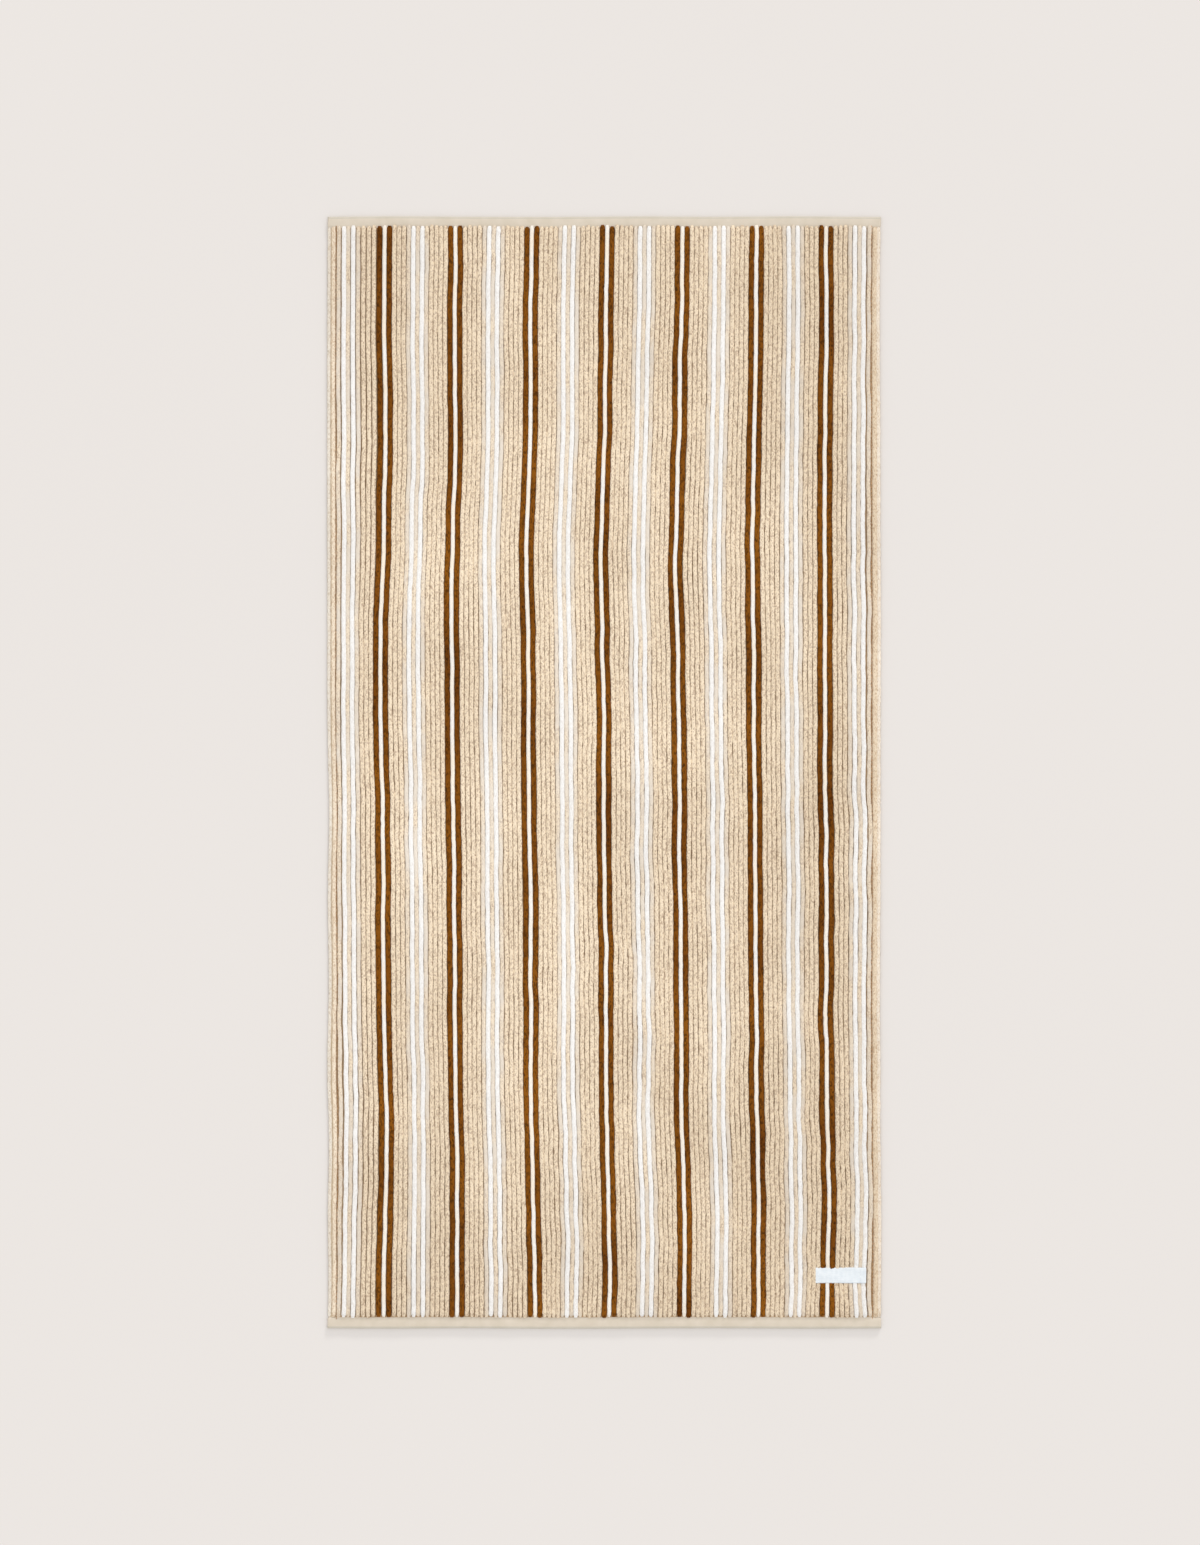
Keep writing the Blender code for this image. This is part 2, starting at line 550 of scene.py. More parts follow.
@dataclass(frozen=True)
class StripePlan:
    """The order of the ribs across the towel, and how much room each takes beside a beige one.

    Pairs of white and of brown ribs take turns, with fields of beige between them. The two fields
    nearest to each side hem are a rib narrower than the rest.
    """

    plan: ClothPlan
    pairs: int = 15
    outer_field: int = 4
    inner_field: int = 5
    outer_fields: int = 2
    brown: float = 1.12
    between_browns: float = 0.9
    white: float = 0.95
    between_whites: float = 0.93
    beside_hem: float = 1.24
    slim_girth: float = 0.88
    outer_girth: float = 0.9
    mingled_girth: float = 0.94
    outer_shift: float = 0.7 * MM

    def room(self, order: Sequence[Yarn], place: int) -> float:
        """Work out how much room a rib takes.

        Args:
            order: The yarns of all the ribs, from left to right.
            place: The rib's place among them.

        Returns:
            Its room as a multiple of what a plain beige rib takes.
        """
        if place in (0, len(order) - 1):
            return self.beside_hem
        beside = {order[place - 1], order[place + 1]}
        if order[place] is Yarn.BROWN:
            return self.brown
        if order[place] is Yarn.WHITE:
            return self.between_browns if beside == {Yarn.BROWN} else self.white
        return self.between_whites if beside == {Yarn.WHITE} else 1.0

    def yarns(self) -> list[Yarn]:
        """List the yarns from left to right: white and brown pairs in turn, beige between.

        Returns:
            One yarn for each rib.
        """
        white_pair = [Yarn.WHITE, Yarn.BEIGE, Yarn.WHITE]
        brown_pair = [Yarn.BROWN, Yarn.WHITE, Yarn.BROWN]
        order = [Yarn.BEIGE]
        for pair in range(self.pairs):
            order += brown_pair if pair % 2 else white_pair
            outer = min(pair, self.pairs - 2 - pair) < self.outer_fields
            if pair < self.pairs - 1:
                order += [Yarn.BEIGE] * (self.outer_field if outer else self.inner_field)
        return order + [Yarn.BEIGE]

    def ribs(self) -> list[Rib]:
        """Share the width between the side hems among the ribs.

        Returns:
            The ribs from left to right.
        """
        order = self.yarns()
        shares = np.array([self.room(order, place) for place in range(len(order))])
        space = self.plan.width - 2 * (self.plan.side_hem + self.plan.seam)
        widths = shares * space / shares.sum()
        middles = np.cumsum(widths) - 0.5 * widths - 0.5 * space
        ribs = []
        for place, yarn in enumerate(order):
            spilled = float(SPILLS_OVER.get(yarn) in order[max(place - 1, 0):place + 2])
            middle, girth = float(middles[place]), 1.0
            if place in (0, len(order) - 1):
                girth = self.outer_girth
                middle += self.outer_shift if middle > 0 else -self.outer_shift
            elif spilled:
                girth = self.slim_girth if yarn is Yarn.WHITE else self.mingled_girth
            ribs.append(Rib(yarn, middle, float(widths[place]), girth, spilled))
        return ribs


@dataclass(frozen=True)
class PileYarn:
    """Ring-spun cotton, dyed in the yarn and woven into uncut loops.

    The loops stand close together, so each rib looks matt and softly grained. Painted shade makes
    it darker deep between the ribs and in the gaps between its loops, where light is lost. Loops of
    the next yarn spill over its sides. The pile is palest near a point close to the middle of the
    towel and darker towards its edges, and its shade drifts in soft patches.
    """

    name: str
    loop_top: str
    # painted shade: the colour that the loops take deep in a groove and between loops, where light is
    # lost
    painted_root_shade: str
    spilled: str
    shade_drift: str = "#EAE7E3"
    # how much of the painted root shade the grooves get
    root_shade_share: float = 1.0
    groove: Span = (0.3, 0.9)           # depths between which the painted shade of a groove sets in
    groove_breaks: Span = (0.8, 1.3)    # how much that painted shade varies along a groove
    # how much painted shade the gaps between loops get
    gap_shade_share: float = 0.15
    gap: Span = (0.3, 0.8)              # distances from a loop's middle where the painted shade of its gap sets in
    spill_share: float = 0.5
    spill_breaks: Span = (0.3, 1.7)     # how much the spilled loops vary along a rib
    loop_variety: float = 1.05          # how much one loop differs from the next in shade
    sheen: float = 0.08
    gloss: float = 0.12
    loop_size: float = 1.5 * MM    # a real loop is about 1 mm wide; drawn coarser so that it shows
    slimness: float = 2.0          # how much narrower than long a loop is
    fibre_size: float = 0.6 * MM
    fuzz: float = 0.5              # how far single fibres stand out, beside a whole loop
    relief: float = 0.6 * MM
    lean_size: float = 7 * MM      # tufts of loops that lean one way
    spill_size: float = 30 * MM
    patch: float = 130 * MM
    drift_share: float = 0.65      # how much of the drifted shade the darkest patches have
    outward_darkening: float = 0.44    # how much of it the pile has at the pale middle's reach, more further out
    # the point where the pile is palest, and how far its darkening reaches across and along
    pale_middle: tuple[float, float] = (-50 * MM, 60 * MM)
    pale_reach: tuple[float, float] = (280 * MM, 470 * MM)

    def shade(self, tree: bpy.types.NodeTree, where: bpy.types.NodeSocket) -> bpy.types.NodeSocket:
        """Work out how much darker the pile is at each point, by its patches and its distance from the
        pale middle.

        Args:
            tree: The material's tree.
            where: The object's own coordinates.

        Returns:
            The share of the drifted shade, from 0 to 1.
        """
        patches = soft_noise(tree, where, self.patch, detail=4.0, roughness=0.65)
        drift = remap(tree, patches, NOISE_MIDDLE, (0.0, self.drift_share))
        (middle_x, middle_y), (reach_x, reach_y) = self.pale_middle, self.pale_reach
        off = vector_calc(
            tree, "MULTIPLY_ADD", where, (1 / reach_x, 1 / reach_y, 0.0),
            (-middle_x / reach_x, -middle_y / reach_y, 0.0),
        )
        far = vector_calc(tree, "DOT_PRODUCT", off, off, out="Value")
        return calc(tree, "MULTIPLY_ADD", far, self.outward_darkening, drift, clamp=True)

    def material(self) -> bpy.types.Material:
        """Make the yarn's material.

        Returns:
            The new material.
        """
        made, where = new_material(
            self.name, Roughness=0.95, Specular_IOR_Level=self.gloss, Sheen_Weight=self.sheen,
            Sheen_Roughness=0.6,
        )
        tree = made.node_tree
        slim = vector_calc(tree, "MULTIPLY", where, (self.slimness, 1.0, 1.0))
        loops = add_node(tree, "ShaderNodeTexVoronoi", {"Vector": slim, "Scale": 1 / self.loop_size})
        one_loop = add_node(tree, "ShaderNodeSeparateColor", {0: loops.node.outputs["Color"]})
        fibres, leans, spills = (
            soft_noise(tree, slim, size)
            for size in (self.fibre_size, self.lean_size, self.spill_size)
        )
        # painted shade in the gaps between loops
        loop_gap_shade = remap(tree, loops, self.gap, (0.0, self.gap_shade_share))
        most = 0.5 * self.loop_variety
        variety = remap(tree, one_loop, (0.0, 1.0), (-most, most))
        # painted shade, stronger down each roll's sides and varying along its grooves
        sunk = add_node(tree, "ShaderNodeAttribute", out="Fac", attribute_name="depth")
        low = remap(tree, sunk, self.groove)
        breaks = [self.root_shade_share * part for part in self.groove_breaks]
        share = calc(tree, "MULTIPLY_ADD", low, remap(tree, leans, NOISE_CORE, breaks), loop_gap_shade)
        share = calc(tree, "ADD", share, variety, clamp=True)
        # the loop colour mixed with the painted shade of grooves and gaps
        loop_colour = blend(tree, share, self.loop_top, self.painted_root_shade)
        beside = add_node(tree, "ShaderNodeAttribute", out="Fac", attribute_name="spill")
        breaks = [self.spill_share * part for part in self.spill_breaks]
        spilt = calc(tree, "MULTIPLY", beside, remap(tree, spills, NOISE_MIDDLE, breaks))
        mingled = blend(tree, spilt, loop_colour, self.spilled)
        colour = blend(tree, self.shade(tree, where), mingled, self.shade_drift, "MULTIPLY")
        height = calc(tree, "SUBTRACT", calc(tree, "MULTIPLY", fibres, self.fuzz), loops)
        return finish_material(made, colour, height, self.relief, strength=0.8)


@dataclass(frozen=True)
class FlatWeave:
    """Plain-woven cotton with no pile, pressed flat.

    Its threads cross at right angles, so it shows a fine even grain, and it is smoother than
    the loops beside it.
    """

    name: str
    thread_top: str
    thread_gap: str
    thread_spacing: float = 1.4 * MM    # real threads are about 0.5 mm apart; drawn coarser to show
    relief: float = 0.15 * MM
    mottle: float = 9 * MM
    crossing_share: float = 0.22    # how much the threads' crossings show beside the mottle
    shade_span: Span = (0.15, 0.85)

    def material(self) -> bpy.types.Material:
        """Make the weave's material.

        Returns:
            The new material.
        """
        made, where = new_material(
            self.name, Roughness=0.9, Specular_IOR_Level=0.2, Sheen_Weight=0.08
        )
        tree = made.node_tree
        around = 2 * pi / self.thread_spacing
        split = add_node(tree, "ShaderNodeSeparateXYZ", {0: where}).node.outputs
        waves = [calc(tree, "SINE", calc(tree, "MULTIPLY", split[axis], around)) for axis in (0, 1)]
        crossing = calc(tree, "MULTIPLY", *waves)
        mottle = soft_noise(tree, where, self.mottle, detail=4.0)
        shade = calc(tree, "MULTIPLY_ADD", crossing, self.crossing_share, mottle)
        shade = remap(tree, shade, self.shade_span, (1.0, 0.0))
        colour = blend(tree, shade, self.thread_top, self.thread_gap)
        return finish_material(made, colour, crossing, self.relief, strength=0.6)


@dataclass(frozen=True)
class LabelTape:
    """Polyester satin tape, shuttle woven and hot cut.

    Long floats lie along it, so it is smooth and slightly glossy, with fine lines lengthwise.
    """

    name: str = "polyester label tape, satin woven"
    face: str = "#E4E8EA"
    shadow: str = "#D2D9DF"
    line_spacing: float = 0.9 * MM    # real floats are 0.2 mm apart; drawn coarser to show
    line_waver: float = 1.2
    line_share: float = 0.35          # how much the lines show beside the mottle
    mottle: float = 4 * MM
    shade_span: Span = (0.4, 1.0)
    relief: float = 0.08 * MM

    def material(self) -> bpy.types.Material:
        """Make the tape's material.

        Returns:
            The new material.
        """
        made, where = new_material(self.name, Roughness=0.55)
        tree = made.node_tree
        lines = add_node(
            tree, "ShaderNodeTexWave",
            {"Vector": where, "Scale": 1 / (2 * pi * self.line_spacing),
             "Distortion": self.line_waver, "Detail": 2.0},
            "Fac", bands_direction="Y",
        )
        mottle = soft_noise(tree, where, self.mottle, detail=3.0)
        shade = calc(tree, "MULTIPLY_ADD", lines, self.line_share, mottle)
        colour = blend(tree, remap(tree, shade, self.shade_span), self.shadow, self.face)
        return finish_material(made, colour, lines, self.relief, strength=0.5)


@dataclass(frozen=True)
class SewingThread:
    """Core-spun polyester sewing thread, two-ply.

    Its plies twist round each other, so each stitch has slanting ridges and a faint sheen.
    """

    name: str
    light: str
    dark: str
    twist: float = 0.9 * MM
    relief: float = 0.1 * MM

    def material(self) -> bpy.types.Material:
        """Make the thread's material.

        Returns:
            The new material.
        """
        made, where = new_material(self.name, Roughness=0.7, Specular_IOR_Level=0.3)
        tree = made.node_tree
        plies = add_node(
            tree, "ShaderNodeTexWave", {"Vector": where, "Scale": 1 / (2 * pi * self.twist)},
            "Fac", bands_direction="DIAGONAL",
        )
        colour = blend(tree, plies, self.dark, self.light)
        return finish_material(made, colour, plies, self.relief, strength=0.5)


@dataclass(frozen=True)
class StudioCard:
    """Matt painted board of the studio floor, with a very faint unevenness."""

    name: str = "matt painted board"
    pale: str = "#DCD7D3"
    dim: str = "#DAD5D1"
    cloud: float = 0.5
    relief: float = 0.1 * MM

    def material(self) -> bpy.types.Material:
        """Make the board's material.

        Returns:
            The new material.
        """
        made, where = new_material(self.name, Roughness=1.0, Specular_IOR_Level=0.0)
        tree = made.node_tree
        cloud = soft_noise(tree, where, self.cloud)
        colour = blend(tree, cloud, self.pale, self.dim)
        return finish_material(made, colour, cloud, self.relief, strength=0.1)


# Each yarn's second colour is its painted shade, deep in the grooves and between loops.
YARN_FINISHES = {
    Yarn.BEIGE: PileYarn(
        "cotton terry loops, beige", "#FAE8CD", "#895D36", "#ECE3D7", root_shade_share=1.2,
        loop_variety=0.95, groove=(0.25, 0.8),
    ),
    Yarn.WHITE: PileYarn(
        "cotton terry loops, white", "#F9F7F4", "#D6CDC3", "#FBECD6", "#F1F0EF", loop_variety=0.6,
        drift_share=0.6, outward_darkening=0.25,
    ),
    Yarn.BROWN: PileYarn(
        "cotton terry loops, brown", "#8D5513", "#331A02", "#E8DCCB", "#BCB09F",
        sheen=0.02, gloss=0.05, loop_variety=1.4, drift_share=1.0, outward_darkening=0.0,
        loop_size=2.0 * MM,
    ),
}
GROUND_FINISHES = {
    Region.FIELD: FlatWeave("cotton ground weave", "#BEA17F", "#957653"),
    Region.END_HEM: FlatWeave("cotton plain weave, end hem", "#D8CCBC", "#CBBFAC"),
    # The folded edge is a darker colour than the hem: painted shade where the edge rounds down to the
    # floor.
    Region.END_FOLD: FlatWeave("cotton plain weave, folded edge, painted shade", "#CCC4B6", "#C0B8A7"),
    Region.SIDE_HEM: FlatWeave("cotton plain weave, side hem turning", "#D2BFA5", "#BFAA8A"),
}
HEM_LOOPS = PileYarn(
    "cotton terry loops, left hem", "#F9EAD4", "#C49F75", "#F4EADD", root_shade_share=0.4,
    outward_darkening=0.2,
)
# Right hem's inner roll: darker than the left hem's roll, painted shade beside the lit outer roll.
SHADED_RIGHT_HEM_LOOPS = PileYarn(
    "cotton terry loops, right hem, painted shade", "#F2E0C6", "#BA946B", "#F4EADD", root_shade_share=0.45,
    outward_darkening=0.3,
)
# Left edge roll: duller, darker loops, painted shade on the side of the towel away from the light.
SHADED_LEFT_EDGE_LOOPS = PileYarn(
    "cotton terry loops, left edge, painted shade", "#F1E9DC", "#C8B498", "#F4EADD", root_shade_share=0.3,
    outward_darkening=0.2,
)
# Right edge roll: paler loops, painted light on the side of the towel that faces the light.
LIT_RIGHT_EDGE_LOOPS = PileYarn(
    "cotton terry loops, right edge, painted light", "#F8ECDC", "#D5BB9A", "#F4EADD", root_shade_share=0.3,
    outward_darkening=0.2,
)
SEAM_THREAD = SewingThread("polyester sewing thread, tan", "#C89D72", "#976D46")
LABEL_THREAD = SewingThread("polyester sewing thread, white", "#F7F7F7", "#CED2D8")


def link(name: str, mesh: bpy.types.Mesh) -> bpy.types.Object:
    """Make an object of a mesh and put it in the scene.

    Args:
        name: The object's name.
        mesh: Its mesh.

    Returns:
        The object.
    """
    piece = bpy.data.objects.new(name, mesh)
    bpy.context.scene.collection.objects.link(piece)
    return piece


def grow_by_nodes(
    piece: bpy.types.Object, tree: bpy.types.NodeTree, inputs: Mapping[str, Any]
) -> None:
    """Run a node tree on a piece and keep its result as the piece's plain mesh.

    Args:
        piece: The object whose mesh feeds the tree.
        tree: The geometry node tree.
        inputs: A value for each of the tree's named inputs.
    """
    grower = piece.modifiers.new(tree.name, "NODES")
    grower.node_group = tree
    sockets = {item.name: item.identifier for item in tree.interface.items_tree}
    for name, value in inputs.items():
        grower[sockets[name]] = value
    graph = bpy.context.evaluated_depsgraph_get()
    grown = bpy.data.meshes.new_from_object(piece.evaluated_get(graph), depsgraph=graph)
    guide = piece.data
    piece.modifiers.remove(grower)
    piece.data = grown
    grown.name = piece.name
    bpy.data.meshes.remove(guide)


def chains(name: str, lines: Sequence[np.ndarray], **marks: Sequence[np.ndarray]) -> bpy.types.Mesh:
    """Make a mesh of open chains of edges.

    Args:
        name: The mesh's name.
        lines: The points of each chain, in order.
        marks: For each named mark, a number for every point of each chain.

    Returns:
        The new mesh.
    """
    edges, start = [], 0
    for line in lines:
        edges += [(start + i, start + i + 1) for i in range(len(line) - 1)]
        start += len(line)
    mesh = bpy.data.meshes.new(name)
    mesh.from_pydata(np.concatenate(lines).tolist(), edges, [])
    for title, values in marks.items():
        mark = mesh.attributes.new(title, "FLOAT", "POINT")
        mark.data.foreach_set("value", np.concatenate(values))
    return mesh


def closed_sheet(
    name: str, x: np.ndarray, y: np.ndarray, top: np.ndarray, under: np.ndarray
) -> bpy.types.Mesh:
    """Make a closed mesh of an upper face, an underside and the rim between them.

    Args:
        name: The mesh's name.
        x: The points' x, in rows from front to back.
        y: The points' y.
        top: Heights of the upper face.
        under: Heights of the underside.

    Returns:
        The new mesh: first the points of the upper face, then those of the underside.
    """
    count = x.size
    grid = np.arange(count).reshape(x.shape)
    points = [np.stack([x.ravel(), y.ravel(), z.ravel()], 1) for z in (top, under)]
    quads = np.stack([grid[:-1, :-1], grid[:-1, 1:], grid[1:, 1:], grid[1:, :-1]], -1).reshape(-1, 4)
    ring = np.concatenate([grid[0, :-1], grid[:-1, -1], grid[-1, :0:-1], grid[:0:-1, 0]])
    after = np.roll(ring, -1)
    rim = np.stack([ring + count, after + count, after, ring], 1)
    mesh = bpy.data.meshes.new(name)
    faces = np.concatenate([quads, quads[:, ::-1] + count, rim])
    mesh.from_pydata(np.concatenate(points).tolist(), [], faces.tolist())
    mesh.shade_smooth()
    return mesh


def lay_flat_map(mesh: bpy.types.Mesh, across: np.ndarray, along: np.ndarray) -> None:
    """Lay a closed sheet's two faces side by side in its own map.

    Args:
        mesh: The sheet's mesh.
        across: From 0 to 1 across the sheet, for each point of one face.
        along: From 0 to 1 along the sheet, likewise.
    """
    corner = np.zeros(len(mesh.loops), int)
    mesh.loops.foreach_get("vertex_index", corner)
    below = corner >= across.size
    u = MAP_MARGIN + (0.5 - 2 * MAP_MARGIN) * across.ravel()[corner % across.size]
    v = MAP_MARGIN + (1.0 - 2 * MAP_MARGIN) * along.ravel()[corner % across.size]
    layer = mesh.uv_layers.new(name=BAKE_MAP)
    layer.uv.foreach_set("vector", np.stack([np.where(below, 1.0 - u, u), v], 1).ravel())


def triangles(mesh: bpy.types.Mesh) -> int:
    """Count the triangles of a mesh."""
    return sum(len(face.vertices) - 2 for face in mesh.polygons)


# How far in from the edges the cloth's points stand, in millimetres, where it bends most.
COLUMN_STEPS = (0.0, 0.4, 1.0, 2.2, 4.2, 6.2, 7.6, 8.3, 8.7, 9.1, 9.6, 11.0)
ROW_STEPS = (0.0, 0.2, 0.5, 0.9, 1.4, 2.2, 3.4, 4.8, 6.2, 7.6, 8.6, 9.1, 9.7, 10.4, 11.8)


def edge_stations(extent: float, steps: Sequence[float], inset: float, count: int) -> np.ndarray:
    """List places from one edge of the cloth to the other, close together near both.

    Args:
        extent: The distance between the edges.
        steps: How far in from an edge the close places stand, in millimetres.
        inset: How far in the even places start.
        count: How many even places there are.

    Returns:
        Rising distances from the middle.
    """
    half, near = 0.5 * extent, np.array(steps) * MM
    even = np.linspace(inset - half, half - inset, count)
    return np.concatenate([near - half, even, half - near[::-1]])


@dataclass
class GroundCloth:
    """The woven ground of the towel, with its turned end hems, as one mesh."""

    plan: ClothPlan
    name: str = "ground_cloth"
    end_hem_top: float = 2.9 * MM
    side_top: float = 1.6 * MM
    seam_floor: float = 2.2 * MM
    edge_round: float = 0.9 * MM
    rim_top: float = 0.3 * MM
    # width of the folded edge that has the painted shade
    fold_width: float = 1.9 * MM
    side_tuck: float = 1.2 * MM
    tuck_reach: float = 5 * MM
    tuck_start: float = 0.6 * MM
    tuck_end: float = 0.4 * MM
    hem_overlap: float = 0.8 * MM
    field_inset: float = 14 * MM
    row_spacing: float = 9 * MM
    field_columns: int = 30
    seam_reach: float = 0.6 * MM
    seam_slope: float = 0.8 * MM
    hem_slope: float = 0.5 * MM
    underside_slope: float = 4 * MM
    hem_crown: float = 0.12
    ripple: float = 0.12 * MM
    ripple_sizes: tuple[float, float] = (5.2 * MM, 3.1 * MM)
    ripple_shift: float = 1.7
    piece: bpy.types.Object = field(init=False)

    def heights(self, across: np.ndarray, along: np.ndarray) -> tuple[np.ndarray, np.ndarray]:
        """Work out the cloth's upper and lower faces.

        Args:
            across: Distances right of the middle.
            along: Distances up from the middle.

        Returns:
            The heights of the upper face and of the underside.
        """
        plan = self.plan
        from_side = 0.5 * plan.width - np.abs(across)
        from_end = 0.5 * plan.length - np.abs(along)
        seam_middle = plan.side_hem + 0.5 * plan.seam
        seam = np.exp(-((from_side - seam_middle) / self.seam_reach) ** 2)
        edge = smooth_step(from_side, seam_middle, seam_middle + self.seam_slope)
        top = self.side_top * (1.0 - edge) + plan.ground_top * edge
        top = top - (top - self.seam_floor) * seam

        short = 1.0 - np.clip(from_end / self.edge_round, 0, 1)
        fold = np.sqrt(1.0 - short ** 2)
        side_short = 1.0 - np.clip(from_side / self.edge_round, 0, 1)
        side_fold = np.sqrt(1.0 - side_short ** 2)
        waves = [across / size for size in self.ripple_sizes]
        wave = np.sin(waves[0]) + np.sin(waves[1] + self.ripple_shift * np.sign(along))
        middle = np.sin(pi * np.clip(from_end / plan.end_hem, 0, 1))
        crown = 1.0 - self.hem_crown * (1.0 - middle)
        hem_top = (self.end_hem_top + self.ripple * wave) * crown
        hem = self.rim_top + (hem_top - self.rim_top) * fold * side_fold
        over = smooth_step(from_end, plan.end_hem - self.hem_slope, plan.end_hem + self.hem_slope)
        top = hem * (1.0 - over) + (self.rim_top + (top - self.rim_top) * side_fold) * over

        inside = smooth_step(from_side, plan.side_hem, plan.side_hem + self.underside_slope)
        beyond = smooth_step(from_end, plan.end_hem, plan.end_hem + self.underside_slope)
        return top, plan.ground_underside * inside * beyond

    def tucked(self, across: np.ndarray, along: np.ndarray) -> np.ndarray:
        """Draw the cloth in a little at the sides, under the rolls that cover its edges there.

        Args:
            across: Distances right of the middle.
            along: Distances up from the middle.

        Returns:
            New distances right of the middle.
        """
        plan = self.plan
        near = 1.0 - smooth_step(0.5 * plan.width - np.abs(across), 0.0, self.tuck_reach)
        from_end = 0.5 * plan.length - np.abs(along)
        rolled = smooth_step(from_end, plan.end_hem - self.tuck_start, plan.end_hem + self.tuck_end)
        return across - np.sign(across) * self.side_tuck * near * rolled

    def region(self, across: float, along: float) -> Region:
        """Name the part of the cloth that a point of the plain rectangle lies in.

        Args:
            across: Its distance right of the middle.
            along: Its distance up from the middle.

        Returns:
            The part.
        """
        from_end = 0.5 * self.plan.length - abs(along)
        if from_end < self.fold_width:
            return Region.END_FOLD
        if from_end < self.plan.end_hem + self.hem_overlap:
            return Region.END_HEM
        if 0.5 * self.plan.width - abs(across) < self.plan.side_hem:
            return Region.SIDE_HEM
        return Region.FIELD

    def build(self) -> None:
        """Make the closed mesh and give each of its faces the slot of its region."""
        plan = self.plan
        rows = round((plan.length - 2 * self.field_inset) / self.row_spacing) + 1
        across, along = np.meshgrid(
            edge_stations(plan.width, COLUMN_STEPS, self.field_inset, self.field_columns),
            edge_stations(plan.length, ROW_STEPS, self.field_inset, rows),
        )
        x, y = plan.place(self.tucked(across, along), along)
        mesh = closed_sheet(self.name, x, y, *self.heights(across, along))
        for face in mesh.polygons:
            corners = [index % across.size for index in face.vertices]
            middle = across.ravel()[corners].mean(), along.ravel()[corners].mean()
            face.material_index = self.region(*middle).value
        lay_flat_map(mesh, across / plan.width + 0.5, along / plan.length + 0.5)
        self.piece = link(self.name, mesh)

    def dress(self) -> None:
        """Give the cloth a finish for each of its regions."""
        for region in Region:
            self.piece.data.materials.append(GROUND_FINISHES[region].material())


@dataclass(frozen=True)
class RibShape:
    """The size and the unevenness of one kind of rib, in metres.

    A hem's roll takes its rise from the roll itself, so its shape has none.
    """

    rise: float
    sides: int
    row_spacing: float
    wander: float
    wander_size: float
    sway: float
    sway_size: float
    relief: float
    squareness: float = 0.62


RIB_SHAPES = {
    Face.FRONT: RibShape(
        rise=2.4 * MM, sides=7, row_spacing=2.3 * MM, wander=0.7 * MM, wander_size=6 * MM,
        sway=1.9 * MM, sway_size=45 * MM, relief=0.1 * MM,
    ),
    Face.BACK: RibShape(
        rise=1.5 * MM, sides=5, row_spacing=7.0 * MM, wander=0.4 * MM, wander_size=12 * MM,
        sway=0.5 * MM, sway_size=55 * MM, relief=0.05 * MM,
    ),
    Face.HEM: RibShape(
        rise=0.0, sides=9, row_spacing=2.2 * MM, wander=0.35 * MM, wander_size=7 * MM,
        sway=0.2 * MM, sway_size=60 * MM, relief=0.25 * MM, squareness=0.7,
    ),
}


@dataclass(frozen=True)
class YarnHabit:
    """How the ribs of one yarn differ from the rest: unrest, width, roughness and extra height."""

    wander: float
    width: float
    relief: float
    lift: float


YARN_HABITS = {
    Yarn.BEIGE: YarnHabit(wander=0.85, width=4.25 * MM, relief=1.0, lift=0.0),
    Yarn.WHITE: YarnHabit(wander=0.75, width=4.42 * MM, relief=0.8, lift=0.2 * MM),
    Yarn.BROWN: YarnHabit(wander=0.75, width=4.8 * MM, relief=0.8, lift=0.0),
}


@dataclass(frozen=True)
class Unrest:
    """How unruly the ribs are over the towel: calm up and left, lively down and right."""

    usual: float = 0.85
    slant: float = 0.45
    patchiness: float = 0.25
    limits: Span = (0.4, 1.4)
    first_wave: tuple[float, float] = (21.0, 9.0)      # radians a metre, across and along
    second_wave: tuple[float, float] = (-5.0, 13.0)
    second_shift: float = 1.0

    def at(self, plan: ClothPlan, across: np.ndarray, along: np.ndarray) -> np.ndarray:
        """Work out the unrest at points of the plain rectangle.

        Args:
            plan: The towel's plan.
            across: Distances right of the middle.
            along: Distances up from the middle.

        Returns:
            The unrest, where 1 is usual.
        """
        diagonal = across / plan.width - along / plan.length
        first = across * self.first_wave[0] + along * self.first_wave[1]
        second = across * self.second_wave[0] + along * self.second_wave[1] + self.second_shift
        patches = self.patchiness * np.sin(first) * np.sin(second)
        return np.clip(self.usual + self.slant * diagonal + patches, *self.limits)


